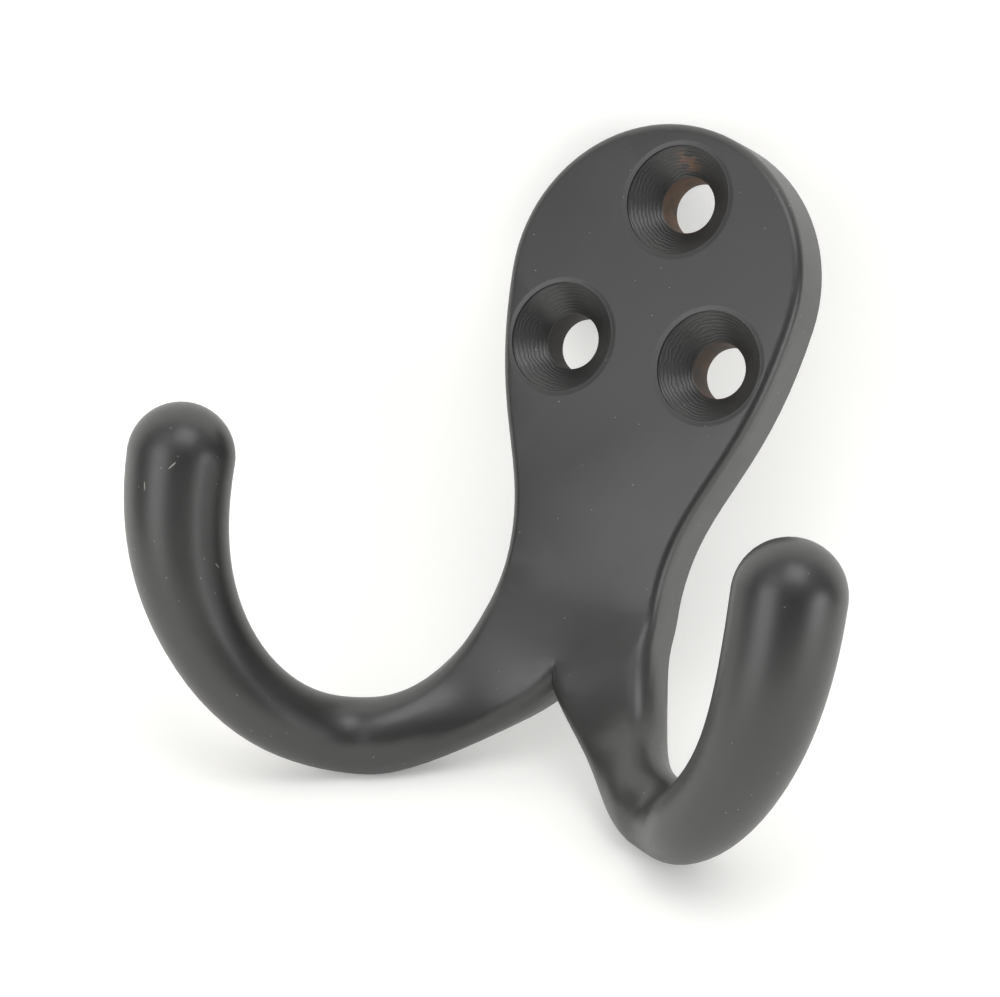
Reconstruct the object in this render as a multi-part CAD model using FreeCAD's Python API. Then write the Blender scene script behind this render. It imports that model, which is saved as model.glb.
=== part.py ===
# Double robe hook: one cast piece, a spoon-shaped wall plate with two round arms.
# Millimetres. The plate's back lies in the plane y = 0, the front faces -Y and +Z is up.
# The origin is on the plate's middle line, at the height of the two lower screw holes.
import FreeCAD, Part
import math
import os
from FreeCAD import Vector

# wall plate
plate_thickness = 4.9
lobe_radius = 12.7
lobe_centre_z = 5.8
lobe_sweep = 95.0            # degrees from the top to where the round lobe ends
waist_half_width = 7.0
waist_z = -18.0
shoulder_pull = 12.5         # how far the side follows the lobe before it turns in
waist_pull = 8.0             # how far the side stands upright above the waist
front_edge_radius = 0.8
back_edge_chamfer = 0.5

# screw holes
hole_spacing = 13.2
top_hole_z = 12.4
top_hole_shift = 0.6         # the top hole is drilled a little to the right of the middle
bore_radius = 2.25
sink_radius = 4.4
sink_step = 0.25             # short straight wall at the rim of each countersink
sink_depth = 2.2

# arms: a flared root from the waist to the joint, then a round bar to the tip
joint_centre = Vector(12.9, -8.6, -34.4)
joint_direction = Vector(0.92, -0.31, -0.24)
joint_turn = 34.0            # degrees the section has turned outwards at the joint, seen from above
joint_radius = 3.07
neck_radius = 3.03           # control radius just past the joint
waist_reach = 0.9            # spacing of the control rings just below the waist
root_reach = 2.4             # spacing of the control rings before the joint
bar_reach = 2.1              # and after the joint
tip_radius = 4.22
middle_overlap = 1.6         # the roots run this far past the middle before they are trimmed there

KAPPA = 0.5523               # handle length of a cubic quarter circle of radius one


def section_axes(along, turn):
    """Two axes of a section: across the arm and out of the wall, turned outwards in plan."""
    angle = math.radians(turn)
    outward = Vector(-math.sin(angle), -math.cos(angle), 0)
    outward = outward - along * outward.dot(along)
    outward.normalize()
    return outward.cross(along), outward


def root_rings():
    """Control rings of the root: centre, direction, turn, half sizes, front corner radius, roundness."""
    root = (waist_half_width + middle_overlap) / 2
    root_x = waist_half_width - root
    half = plate_thickness / 2
    along = Vector(joint_direction).normalize()
    flare = joint_radius + (joint_radius - neck_radius) * root_reach / bar_reach
    rows = [
        (Vector(root_x, -half, waist_z), 0, root, half, front_edge_radius, 0.0),
        (Vector(root_x, -half, waist_z - waist_reach), 0, root, half, front_edge_radius, 0.0),
        (Vector(root_x, -half, waist_z - 3 * waist_reach), 0, root + 0.25, half, front_edge_radius, 0.0),
        (Vector(3.1, -3.75, -24.9), 0, 4.95, 2.4, 1.5, 0.05),
        (Vector(7.5, -4.2, -30.3), 20, 3.3, 2.15, 1.8, 0.6),
        (joint_centre - along * root_reach, joint_turn, flare, flare, flare / 2, 1.0),
        (joint_centre, joint_turn, joint_radius, joint_radius, joint_radius / 2, 1.0),
    ]
    directions = [Vector(0, 0, -1)] * 3 + [rows[k + 1][0] - rows[k - 1][0] for k in (3, 4)] + [along] * 2
    return [(row[0], direction) + row[1:] for row, direction in zip(rows, directions)]


def bar_rings():
    """Control rings of the round bar from the joint to the tip: centre and radius."""
    along = Vector(joint_direction).normalize()
    return [
        (joint_centre, joint_radius),
        (joint_centre + along * bar_reach, neck_radius),
        (Vector(17.8, -14.2, -35.3), 3.2),
        (Vector(23.9, -19.0, -30.6), 3.47),
        (Vector(26.4, -23.0, -22.7), tip_radius),
        (Vector(26.3, -24.2, -16.5), tip_radius),
    ]


def quarter_poles(a, b, radius, roundness, bevelled):
    """Poles of three cubic pieces from (a, 0) to (0, b): side, corner and top, eased towards an oval."""
    side, top = b - radius, a - radius
    if bevelled:
        bend = [(a, side), (a - radius / 3, side + radius / 3), (top + radius / 3, b - radius / 3), (top, b)]
    else:
        bend = [(a, side), (a, side + KAPPA * radius), (top + KAPPA * radius, b), (top, b)]
    square = [
        [(a, side * k / 3) for k in range(4)],
        bend,
        [(top * (3 - k) / 3, b) for k in range(4)],
    ]
    step = math.pi / 6
    reach = 4.0 / 3.0 * math.tan(step / 4)
    pieces = []
    for k, piece in enumerate(square):
        c0, s0 = math.cos(k * step), math.sin(k * step)
        c1, s1 = math.cos(k * step + step), math.sin(k * step + step)
        oval = [(c0, s0), (c0 - reach * s0, s0 + reach * c0), (c1 + reach * s1, s1 - reach * c1), (c1, s1)]
        pieces.append([(p[0] * (1 - roundness) + q[0] * a * roundness,
                        p[1] * (1 - roundness) + q[1] * b * roundness) for p, q in zip(piece, oval)])
    return pieces


def ring_pieces(ring):
    """Poles of a root ring's twelve cubic pieces, from the outer side over the front and round."""
    centre, direction, turn, a, b, front_corner, roundness = ring
    along = Vector(direction).normalize()
    across, outward = section_axes(along, turn)
    pieces = []
    for sx, sy in ((1, 1), (-1, 1), (-1, -1), (1, -1)):
        corner = front_corner if sy > 0 else back_edge_chamfer
        quarter = quarter_poles(a, b, corner, roundness, sy < 0)
        if sx * sy < 0:
            quarter = [list(reversed(piece)) for piece in reversed(quarter)]
        for piece in quarter:
            pieces.append([centre + across * (sx * x) + outward * (sy * y) for x, y in piece])
    return pieces


def even_knots(rows):
    """Knots and multiplicities of a clamped cubic spline over that many control rows."""
    spans = len(rows) - 3
    return [float(k) for k in range(spans + 1)], [4] + [1] * (spans - 1) + [4]


def strip_face(rows):
    """One strip of the root's skin: cubic across, and a clamped cubic spline down the rings."""
    knots, multiplicities = even_knots(rows)
    surface = Part.BSplineSurface()
    surface.buildFromPolesMultsKnots(rows, multiplicities, [4, 4], knots, [0.0, 1.0], False, False, 3, 3)
    return surface.toShape()


def end_face(pieces):
    """Flat end of the root inside one ring."""
    edges = []
    for piece in pieces:
        curve = Part.BezierCurve()
        curve.setPoles(piece)
        edges.append(curve.toShape())
    return Part.Face(Part.Wire(edges))


def arm_root():
    """Flared root from the plate's waist to the round bar."""
    pieces = [ring_pieces(ring) for ring in root_rings()]
    strips = [strip_face([ring[j] for ring in pieces]) for j in range(len(pieces[0]))]
    return Part.makeSolid(Part.makeShell(strips + [end_face(pieces[0]), end_face(pieces[-1])]))


def circle_poles(centre, across, outward, radius):
    """Nine poles of a circle in four exact quarters, corner poles in between."""
    corners = ((1, 0), (1, 1), (0, 1), (-1, 1), (-1, 0), (-1, -1), (0, -1), (1, -1), (1, 0))
    return [centre + (across * x + outward * y) * radius for x, y in corners]


def arm_bar():
    """Round bar of circles spread over the control rings of its middle line, and the ball at its end."""
    rings = bar_rings()
    rows = []
    ends = []
    for k, (centre, radius) in enumerate(rings):
        along = rings[min(k + 1, len(rings) - 1)][0] - rings[max(k - 1, 0)][0]
        if k < 2:
            along = Vector(joint_direction)
        along.normalize()
        across, outward = section_axes(along, joint_turn)
        rows.append(circle_poles(centre, across, outward, radius))
        if k in (0, len(rings) - 1):
            ends.append(Part.Face(Part.Wire(Part.Circle(centre, along, radius).toShape())))
    corner_weight = math.sqrt(0.5)
    weights = [[corner_weight if j % 2 else 1.0 for j in range(len(row))] for row in rows]
    knots, multiplicities = even_knots(rows)
    surface = Part.BSplineSurface()
    surface.buildFromPolesMultsKnots(rows, multiplicities, [3, 2, 2, 2, 3], knots,
                                     [0.0, 1.0, 2.0, 3.0, 4.0], False, False, 3, 2, weights)
    bar = Part.makeSolid(Part.makeShell([surface.toShape()] + ends))
    return bar, Part.makeSphere(tip_radius, rings[-1][0])


def right_arm():
    """One arm: its root trimmed at the middle plane, the bar and the ball at its end."""
    reach = 100.0
    past_middle = Part.makeBox(reach, 2 * reach, 2 * reach, Vector(-reach, -reach, -reach))
    bar, ball = arm_bar()
    root = arm_root()
    return [root.cut(past_middle), bar, ball]


def plate_outline():
    """Closed outline in the wall plane: round lobe, drawn-in sides, upright waist."""
    sweep = math.radians(lobe_sweep)
    centre = Vector(0, 0, lobe_centre_z)
    edges = []
    for sign in (1, -1):
        shoulder = centre + Vector(sign * math.sin(sweep), 0, math.cos(sweep)) * lobe_radius
        middle = centre + Vector(sign * math.sin(sweep / 2), 0, math.cos(sweep / 2)) * lobe_radius
        along = Vector(sign * math.cos(sweep), 0, -math.sin(sweep))
        waist = Vector(sign * waist_half_width, 0, waist_z)
        side = Part.BezierCurve()
        side.setPoles([shoulder, shoulder + along * shoulder_pull, waist + Vector(0, 0, waist_pull), waist])
        edges.append(Part.Arc(centre + Vector(0, 0, lobe_radius), middle, shoulder).toShape())
        edges.append(side.toShape())
    edges.append(Part.makeLine(Vector(waist_half_width, 0, waist_z), Vector(-waist_half_width, 0, waist_z)))
    return Part.Wire(Part.__sortEdges__(edges))


def rim_edges(plate, y):
    """Edges of the outline that lie at the given depth, without the straight cut at the waist."""
    edges = []
    for edge in plate.Edges:
        box = edge.BoundBox
        if abs(box.YMin - y) < 1e-4 and abs(box.YMax - y) < 1e-4 and box.ZMax > waist_z + 1e-4:
            edges.append(edge)
    return edges


def wall_plate():
    """Upper part of the plate: front edge rounded over, back edge bevelled, open at the waist."""
    plate = Part.Face(plate_outline()).extrude(Vector(0, -plate_thickness, 0))
    plate = plate.makeFillet(front_edge_radius, rim_edges(plate, -plate_thickness))
    plate = plate.makeChamfer(back_edge_chamfer, rim_edges(plate, 0.0))
    return plate


def screw_hole(x, z):
    """Tool for one countersunk hole: straight bore, cone and the short step at the rim."""
    past = 1.0
    front = -plate_thickness
    floor = front + sink_depth
    profile = Part.makePolygon([
        Vector(x, front - past, z),
        Vector(x + sink_radius, front - past, z),
        Vector(x + sink_radius, front + sink_step, z),
        Vector(x + bore_radius, floor, z),
        Vector(x + bore_radius, past, z),
        Vector(x, past, z),
        Vector(x, front - past, z),
    ])
    return Part.Face(profile).revolve(Vector(x, 0, z), Vector(0, 1, 0), 360)


def robe_hook():
    pieces = right_arm()
    mirrored = [piece.mirror(Vector(0, 0, 0), Vector(1, 0, 0)) for piece in pieces]
    hook = wall_plate().fuse(pieces + mirrored, 0.001)
    hook = hook.removeSplitter()
    for x, z in ((-hole_spacing / 2, 0), (hole_spacing / 2, 0), (top_hole_shift, top_hole_z)):
        hook = hook.cut(screw_hole(x, z))
    return hook


os.makedirs("parts", exist_ok=True)
hook = robe_hook()
print("solids", len(hook.Solids), "valid", hook.isValid(), "faces", len(hook.Faces), "volume", hook.Volume)
hook.exportStep("parts/robe_hook.step")
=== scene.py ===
"""Looks of the robe hook: satin black coat, turned screw holes, a pale sweep and soft light.

Lengths named here are in millimetres and angles in degrees, unless a comment says otherwise.
"""
import math

import bpy
from mathutils import Matrix, Vector

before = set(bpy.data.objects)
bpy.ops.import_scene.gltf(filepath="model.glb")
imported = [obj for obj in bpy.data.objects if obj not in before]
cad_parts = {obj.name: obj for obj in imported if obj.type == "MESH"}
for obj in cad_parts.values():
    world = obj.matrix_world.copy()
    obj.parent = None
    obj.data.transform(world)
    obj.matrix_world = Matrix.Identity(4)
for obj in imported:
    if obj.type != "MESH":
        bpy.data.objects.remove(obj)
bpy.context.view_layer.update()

MM = 0.001

# camera of the photograph
CAMERA_AZIMUTH = 28.20
CAMERA_ELEVATION = -1.63
CAMERA_ROLL = 13.60
CAMERA_DISTANCE = 307.79
CAMERA_TARGET = (-10.79, -0.68, -13.52)
CAMERA_LENS = 136.8
SENSOR_WIDTH = 36.0
CLIP_START_M = 0.01
CLIP_END_M = 10.0

# screw holes, as the CAD has them: centre across and up, and where their bores and cones lie
HOLES = ((-6.6, 0.0), (6.6, 0.0), (0.6, 12.4))
BORE_RADIUS = 2.25
SINK_RADIUS = 4.4
SINK_DEPTH = 2.2
PLATE_THICKNESS = 4.9

# shading of the CAD node
WELD_DISTANCE = 0.002
CRISP_ANGLE = 28

# coat: colours are linear, noise scales are per metre
COAT_DARK = (0.012, 0.0122, 0.0118, 1)
COAT_LIGHT = (0.016, 0.0162, 0.0156, 1)
COAT_IOR = 1.75
CLOUD_SCALE = 140.0
CLOUD_RANGE = (0.3, 0.7)
GRAIN_SCALE = 1400.0
ROUGHNESS = 0.31
ROUGHNESS_FROM_CLOUD = 0.08
ROUGHNESS_FROM_GRAIN = 0.06
ROUGHNESS_IN_BORE = 0.4

# pale specks: a dot in some cells of a 1 mm pattern
SPECK_COLOUR = (0.22, 0.22, 0.21, 1)
SPECK_SCALE = 1000.0
SPECK_CHOSEN_ABOVE = 0.55
SPECK_EDGE = (0.08, 0.04)
SPECK_STRENGTH = 0.7

# bare brown metal in the bores, most on the right and at the top, and a worn patch; in the
# bores the amount is partly painted light and shade
BARE_COLOUR = (0.12, 0.06, 0.028, 1)
BARE_SCALE = 700.0
BARE_RANGE = (0.35, 0.6)
BARE_LEAST = 0.5
# painted shade and light: a low amount keeps the left hole's bore dark as painted shade, a
# higher one lightens the right hole's bore as painted light
BARE_AND_SHADE_LEFT_RIGHT = (0.1, 0.6)
BARE_SIDE_HALF_WIDTH = 2
BARE_TOP_FROM = 5
BARE_TOP_FULL = 7
BORE_EDGE = (0.15, 0.02)
BORE_DEPTH_BLUR = 0.2
WORN_PATCH = (0.2, -3.8, 15.6)
WORN_EDGE = (1.6, 0.3)
WORN_SCALE = 1100.0
WORN_RANGE = (0.4, 0.6)
WORN_STRENGTH = 0.8

# small scratches on the left arm: their two ends
SCRATCHES = (
    ((-24.72, -27.92, -17.78), (-24.24, -27.84, -17.13)),
    ((-26.57, -27.92, -19.13), (-26.48, -27.75, -19.80)),
    ((-21.75, -22.88, -23.97), (-21.64, -22.42, -24.22)),
)
SCRATCH_COLOUR = (0.3, 0.3, 0.27, 1)
SCRATCH_EDGE = (0.009, 0.001)

# relief: grain all over, turning rings in the cones, a soft fall towards each rim
GRAIN_HEIGHT = 0.006
RING_HEIGHT = 0.004
RING_PITCH = 0.24
RING_WOBBLE = 0.5
RING_WOBBLE_SCALE = 900.0
CONE_EDGE = (0.02, 0.1)
RIM_DROP = 0.06
RIM_WIDTH = 0.45
FACE_DEPTH = (0.06, 0.02)

# pale sweep: the hook stands on its arms and leans back on paper that faces the camera
LEAN = math.radians(27.1)
FLOOR_UP = Vector((0.0, -math.sin(LEAN), math.cos(LEAN)))
FLOOR_OFFSET = -29.6
WALL_OFFSET = 10.7
SWEEP_RADIUS = 24.0
SWEEP_STEPS = 12
SWEEP_FRONT = 125.0
SWEEP_SIDE = 120.0
SWEEP_HEIGHT = 200.0
PAPER_COLOUR = (0.86, 0.856, 0.835, 1)
PAPER_ROUGHNESS = 0.9
PAPER_SPECULAR = 0.1
SWEEP_LIFT = 0.24

# world: light on matt surfaces, and what gloss sees in front and above
WHITE = (1, 1, 1, 1)
ROOM_LIGHT = 0.72
ROOM_SHINE = 0.16
CEILING_SHINE = 0.5
CEILING_RANGE = (0.3, 0.8)
BEHIND_RANGE = (0.0, 0.3)

# softboxes: name, azimuth from the camera to the right, elevation above the floor,
# distance, width and height, power in watts
LIGHT_TARGET = Vector((0.0, -10.0, -10.0))
SOFTBOXES = (
    ("overhead", 24, 64, 600, (380, 340), 0.92),
    ("left_softbox", -46, 8, 500, (300, 440), 0.88),
    ("left_top", -46, 46, 500, (300, 240), 0.14),
    ("right_softbox", 54, -2, 500, (240, 300), 0.72),
)


def camera_axes(azimuth, elevation, roll):
    """Right, up and backward directions of a camera that looks at the object like this."""
    a, e, r = (math.radians(x) for x in (azimuth, elevation, roll))
    back = Vector((math.sin(a) * math.cos(e), -math.cos(a) * math.cos(e), math.sin(e)))
    level = Vector((math.cos(a), math.sin(a), 0.0))
    upright = back.cross(level)
    right = level * math.cos(r) + upright * math.sin(r)
    up = upright * math.cos(r) - level * math.sin(r)
    return right, up, back


def make_camera():
    """Makes the photograph's camera and returns the direction from the hook towards it."""
    right, up, back = camera_axes(CAMERA_AZIMUTH, CAMERA_ELEVATION, CAMERA_ROLL)
    place = (Vector(CAMERA_TARGET) + back * CAMERA_DISTANCE) * MM
    data = bpy.data.cameras.new("camera")
    data.sensor_width = SENSOR_WIDTH
    data.lens = CAMERA_LENS
    data.clip_start = CLIP_START_M
    data.clip_end = CLIP_END_M
    camera = bpy.data.objects.new("camera", data)
    camera.matrix_world = Matrix((
        (right.x, up.x, back.x, place.x),
        (right.y, up.y, back.y, place.y),
        (right.z, up.z, back.z, place.z),
        (0.0, 0.0, 0.0, 1.0),
    ))
    bpy.context.scene.collection.objects.link(camera)
    bpy.context.scene.camera = camera
    return back


class Nodes:
    """Short way to add and join shader nodes."""

    def __init__(self, tree):
        self.tree = tree

    def add(self, kind, **settings):
        node = self.tree.nodes.new(kind)
        for name, value in settings.items():
            setattr(node, name, value)
        return node

    def put(self, value, socket):
        """Joins an output to the socket, or sets a plain value on it."""
        if isinstance(value, bpy.types.NodeSocket):
            self.tree.links.new(value, socket)
        else:
            socket.default_value = value

    def math(self, operation, *values):
        node = self.add("ShaderNodeMath", operation=operation)
        for value, socket in zip(values, node.inputs):
            self.put(value, socket)
        return node.outputs[0]

    def span(self, value, low, high, to_low=0.0, to_high=1.0):
        """Smooth step from to_low at low to to_high at high."""
        node = self.add("ShaderNodeMapRange", interpolation_type="SMOOTHSTEP")
        for number, socket in zip((value, low, high, to_low, to_high), node.inputs):
            self.put(number, socket)
        return node.outputs[0]

    def pair(self, operation, first, second):
        """One number from two vectors."""
        node = self.add("ShaderNodeVectorMath", operation=operation)
        self.put(first, node.inputs[0])
        self.put(second, node.inputs[1])
        return node.outputs["Value"]

    def mix(self, amount, first, second):
        """Colour between first and second; a mix node has its colours on inputs 6 and 7."""
        node = self.add("ShaderNodeMix", data_type="RGBA")
        self.put(amount, node.inputs[0])
        self.put(first, node.inputs[6])
        self.put(second, node.inputs[7])
        return node.outputs[2]

    def noise(self, place, scale, detail):
        node = self.add("ShaderNodeTexNoise")
        self.put(place, node.inputs["Vector"])
        self.put(scale, node.inputs["Scale"])
        self.put(detail, node.inputs["Detail"])
        return node.outputs[0]


def hole_distance(n, x, z):
    """Distance from the nearest screw hole's axis."""
    nearest = None
    for centre_x, centre_z in HOLES:
        dx = n.math("SUBTRACT", x, centre_x * MM)
        dz = n.math("SUBTRACT", z, centre_z * MM)
        squares = n.math("ADD", n.math("MULTIPLY", dx, dx), n.math("MULTIPLY", dz, dz))
        far = n.math("SQRT", squares)
        nearest = far if nearest is None else n.math("MINIMUM", nearest, far)
    return n.math("DIVIDE", nearest, MM)


def coat_colour(n, place, cloud):
    """Black that varies slightly, with faint pale specks."""
    coat = n.mix(n.span(cloud, *CLOUD_RANGE), COAT_DARK, COAT_LIGHT)
    cells = n.add("ShaderNodeTexVoronoi", feature="F1")
    n.put(place, cells.inputs["Vector"])
    n.put(SPECK_SCALE, cells.inputs["Scale"])
    tone = n.add("ShaderNodeSeparateColor")
    n.put(cells.outputs["Color"], tone.inputs[0])
    chosen = n.math("GREATER_THAN", tone.outputs[0], SPECK_CHOSEN_ABOVE)
    specks = n.math("MULTIPLY", chosen, n.span(cells.outputs["Distance"], *SPECK_EDGE))
    return n.mix(n.math("MULTIPLY", specks, SPECK_STRENGTH), coat, SPECK_COLOUR)


def bare_metal_and_bore_shade(n, place, x, z, in_bore):
    """How much brown metal shows: inside the bores and on the worn patch. In the bores the
    amount also paints shade into the left hole and light into the right hole.
    """
    patchy = n.span(n.noise(place, BARE_SCALE, detail=3.0), *BARE_RANGE)
    patchy = n.math("ADD", n.math("MULTIPLY", patchy, 1 - BARE_LEAST), BARE_LEAST)
    half_width = BARE_SIDE_HALF_WIDTH * MM
    # painted shade and light: little bare metal keeps the left hole's bore dark, more lightens
    # the right hole's bore
    bare_and_shade_by_side = n.span(x, -half_width, half_width, *BARE_AND_SHADE_LEFT_RIGHT)
    bare_and_shade_by_hole = n.math("MAXIMUM", bare_and_shade_by_side, n.span(z, BARE_TOP_FROM * MM, BARE_TOP_FULL * MM))
    bare_and_bore_shade = n.math("MULTIPLY", n.math("MULTIPLY", in_bore, patchy), bare_and_shade_by_hole)
    away = n.pair("DISTANCE", place, Vector(WORN_PATCH) * MM)
    worn = n.math("MULTIPLY", n.span(away, WORN_EDGE[0] * MM, WORN_EDGE[1] * MM),
                  n.span(n.noise(place, WORN_SCALE, detail=3.0), *WORN_RANGE))
    return n.math("MAXIMUM", bare_and_bore_shade, n.math("MULTIPLY", worn, WORN_STRENGTH))


def add_scratches(n, place, colour):
    """Thin bright lines: places that are hardly a detour between a scratch's two ends."""
    for first, last in SCRATCHES:
        first, last = Vector(first) * MM, Vector(last) * MM
        way_round = n.math("ADD", n.pair("DISTANCE", place, first),
                           n.pair("DISTANCE", place, last))
        detour = n.math("SUBTRACT", way_round, (last - first).length)
        line = n.span(detour, SCRATCH_EDGE[0] * MM, SCRATCH_EDGE[1] * MM)
        colour = n.mix(line, colour, SCRATCH_COLOUR)
    return colour


def surface_height(n, place, fine, from_axis, depth):
    """Relief in metres: grain, rings in the cones and the coat's fall towards each rim."""
    in_cone = n.math("MULTIPLY",
                     n.span(from_axis, SINK_RADIUS + CONE_EDGE[0], SINK_RADIUS - CONE_EDGE[1]),
                     n.span(depth, *CONE_EDGE))
    wobble = n.math("MULTIPLY", n.noise(place, RING_WOBBLE_SCALE, detail=2.0), RING_WOBBLE)
    turns = n.math("MULTIPLY", n.math("ADD", from_axis, wobble), 2 * math.pi / RING_PITCH)
    rings = n.math("MULTIPLY", n.math("SINE", turns), in_cone)
    height = n.math("ADD", n.math("MULTIPLY", fine, GRAIN_HEIGHT * MM),
                    n.math("MULTIPLY", rings, RING_HEIGHT * MM))
    near_rim = n.span(from_axis, SINK_RADIUS + RIM_WIDTH, SINK_RADIUS)
    fall = n.math("MULTIPLY", near_rim, n.span(depth, *FACE_DEPTH))
    return n.math("SUBTRACT", height, n.math("MULTIPLY", fall, RIM_DROP * MM))


def coat_material():
    """Satin black coat with specks, turned cones and bare brown metal in the bores, where it
    also paints their shade and light.
    """
    mat = bpy.data.materials.new("satin_black_coat")
    mat.use_nodes = True
    n = Nodes(mat.node_tree)
    shader = mat.node_tree.nodes["Principled BSDF"]
    place = n.add("ShaderNodeTexCoord").outputs["Object"]
    split = n.add("ShaderNodeSeparateXYZ")
    n.put(place, split.inputs[0])
    x, y, z = split.outputs

    # both in millimetres; depth is counted from the plate's front
    from_axis = hole_distance(n, x, z)
    depth = n.math("ADD", n.math("DIVIDE", y, MM), PLATE_THICKNESS)
    bore_edge = (BORE_RADIUS + step for step in BORE_EDGE)
    in_bore = n.math("MULTIPLY", n.span(from_axis, *bore_edge),
                     n.span(depth, SINK_DEPTH - BORE_DEPTH_BLUR, SINK_DEPTH + BORE_DEPTH_BLUR))
    cloud = n.noise(place, CLOUD_SCALE, detail=3.0)
    fine = n.noise(place, GRAIN_SCALE, detail=2.0)

    coat = coat_colour(n, place, cloud)
    # brown bare metal, with painted shade and light in the bores
    colour = n.mix(bare_metal_and_bore_shade(n, place, x, z, in_bore), coat, BARE_COLOUR)
    n.put(add_scratches(n, place, colour), shader.inputs["Base Color"])

    rough = n.math("ADD", n.math("MULTIPLY", cloud, ROUGHNESS_FROM_CLOUD), ROUGHNESS)
    rough = n.math("ADD", rough, n.math("MULTIPLY", fine, ROUGHNESS_FROM_GRAIN))
    rough = n.math("ADD", rough, n.math("MULTIPLY", in_bore, ROUGHNESS_IN_BORE))
    n.put(rough, shader.inputs["Roughness"])
    shader.inputs["IOR"].default_value = COAT_IOR

    bump = n.add("ShaderNodeBump")
    bump.inputs["Strength"].default_value = 1.0
    bump.inputs["Distance"].default_value = 1.0
    n.put(surface_height(n, place, fine, from_axis, depth), bump.inputs["Height"])
    n.put(bump.outputs[0], shader.inputs["Normal"])
    return mat


def paper_material():
    """Pale matt paper: near white to the camera, darker in shade, clear from behind."""
    mat = bpy.data.materials.new("pale_paper")
    mat.use_nodes = True
    tree = mat.node_tree
    n = Nodes(tree)
    shader = tree.nodes["Principled BSDF"]
    shader.inputs["Base Color"].default_value = PAPER_COLOUR
    shader.inputs["Roughness"].default_value = PAPER_ROUGHNESS
    shader.inputs["Specular IOR Level"].default_value = PAPER_SPECULAR
    # the lift shows to the camera and in gloss only
    lift = n.add("ShaderNodeEmission")
    lift.inputs["Color"].default_value = WHITE
    path = n.add("ShaderNodeLightPath")
    seen = n.math("MAXIMUM", path.outputs["Is Camera Ray"], path.outputs["Is Glossy Ray"])
    n.put(n.math("MULTIPLY", seen, SWEEP_LIFT), lift.inputs["Strength"])
    both = n.add("ShaderNodeAddShader")
    n.put(shader.outputs[0], both.inputs[0])
    n.put(lift.outputs[0], both.inputs[1])
    facing = n.add("ShaderNodeMixShader")
    n.put(n.add("ShaderNodeNewGeometry").outputs["Backfacing"], facing.inputs[0])
    n.put(both.outputs[0], facing.inputs[1])
    n.put(n.add("ShaderNodeBsdfTransparent").outputs[0], facing.inputs[2])
    n.put(facing.outputs[0], tree.nodes["Material Output"].inputs["Surface"])
    return mat


def make_sweep(front, side):
    """Floor and wall in one bent sheet: flat under the arms, then upright behind the plate."""
    profile = [(-SWEEP_FRONT, 0.0)]
    for k in range(SWEEP_STEPS + 1):
        angle = math.pi / 2 * k / SWEEP_STEPS
        profile.append((WALL_OFFSET - SWEEP_RADIUS * (1 - math.sin(angle)),
                        SWEEP_RADIUS * (1 - math.cos(angle))))
    profile.append((WALL_OFFSET, SWEEP_HEIGHT))
    points = []
    for x in (-SWEEP_SIDE, SWEEP_SIDE):
        for depth, height in profile:
            point = side * x - front * depth + FLOOR_UP * (FLOOR_OFFSET + height)
            points.append(tuple(point * MM))
    count = len(profile)
    faces = [(k, count + k, count + k + 1, k + 1) for k in range(count - 1)]
    mesh = bpy.data.meshes.new("sweep")
    mesh.from_pydata(points, [], faces)
    for polygon in mesh.polygons:
        polygon.use_smooth = True
    mesh.materials.append(paper_material())
    sweep = bpy.data.objects.new("sweep", mesh)
    bpy.context.scene.collection.objects.link(sweep)


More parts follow.
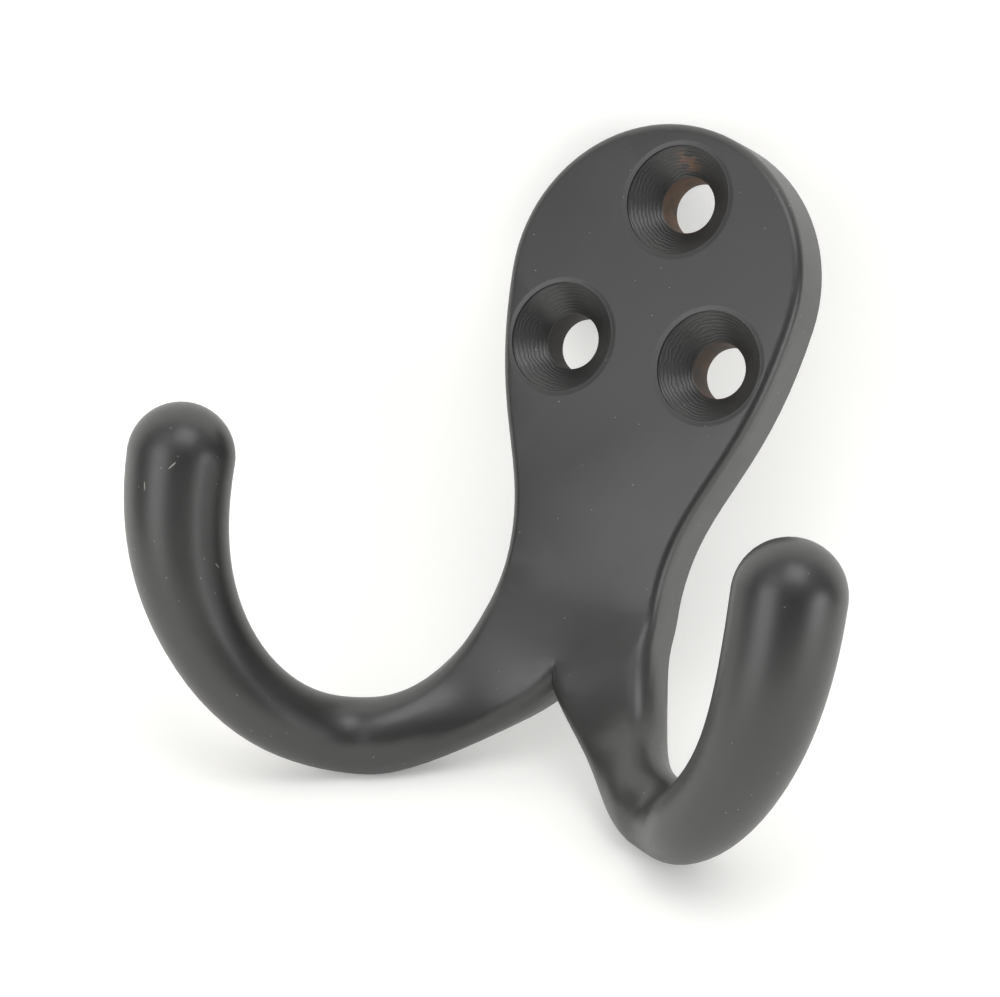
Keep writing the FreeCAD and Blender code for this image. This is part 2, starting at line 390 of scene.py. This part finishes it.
def make_world(front):
    """Even light, white to the camera; gloss sees a dim room, a paler ceiling, white behind."""
    world = bpy.data.worlds.new("studio")
    world.use_nodes = True
    tree = world.node_tree
    n = Nodes(tree)
    background = tree.nodes["Background"]
    background.inputs["Color"].default_value = WHITE
    path = n.add("ShaderNodeLightPath")
    seen = n.math("MAXIMUM", path.outputs["Is Camera Ray"], path.outputs["Is Transmission Ray"])
    way = n.add("ShaderNodeTexCoord").outputs["Generated"]
    behind = n.span(n.pair("DOT_PRODUCT", way, -front), *BEHIND_RANGE)
    above = n.span(n.pair("DOT_PRODUCT", way, FLOOR_UP), *CEILING_RANGE,
                   ROOM_SHINE, CEILING_SHINE)
    glossy = n.add("ShaderNodeMix")
    n.put(path.outputs["Is Glossy Ray"], glossy.inputs[0])
    n.put(ROOM_LIGHT, glossy.inputs[2])
    n.put(n.math("MAXIMUM", above, behind), glossy.inputs[3])
    n.put(n.math("MAXIMUM", glossy.outputs[0], seen), background.inputs["Strength"])
    bpy.context.scene.world = world


def make_softbox(name, place, size, power):
    """Rectangular light, unseen by the camera, that shines from place on the hook."""
    data = bpy.data.lights.new(name, "AREA")
    data.shape = "RECTANGLE"
    data.size = size[0] * MM
    data.size_y = size[1] * MM
    data.energy = power
    light = bpy.data.objects.new(name, data)
    light.location = place * MM
    light.visible_camera = False
    light.rotation_mode = "QUATERNION"
    light.rotation_quaternion = (LIGHT_TARGET - place).to_track_quat("-Z", "Y")
    bpy.context.scene.collection.objects.link(light)


def make_lights(front, side):
    for name, azimuth, elevation, distance, size, power in SOFTBOXES:
        a, e = math.radians(azimuth), math.radians(elevation)
        level = front * math.cos(a) + side * math.sin(a)
        way = level * math.cos(e) + FLOOR_UP * math.sin(e)
        make_softbox(name, LIGHT_TARGET + way * distance, size, power)


def dress_hook(hook):
    """Gives the CAD node its coat, joins its faces for shading and keeps the rims crisp."""
    hook.data.materials.clear()
    hook.data.materials.append(coat_material())
    for polygon in hook.data.polygons:
        polygon.use_smooth = True
    weld = hook.modifiers.new("weld", "WELD")
    weld.merge_threshold = WELD_DISTANCE * MM
    split = hook.modifiers.new("crisp_rims", "EDGE_SPLIT")
    split.split_angle = math.radians(CRISP_ANGLE)


to_camera = make_camera()
dress_hook(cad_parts["robe_hook"])

# level directions of the sweep's floor: towards the camera, and to the camera's right
floor_front = (to_camera - FLOOR_UP * to_camera.dot(FLOOR_UP)).normalized()
floor_side = FLOOR_UP.cross(floor_front)
make_sweep(floor_front, floor_side)
make_world(floor_front)
make_lights(floor_front, floor_side)

scene = bpy.context.scene
scene.view_settings.view_transform = "Standard"
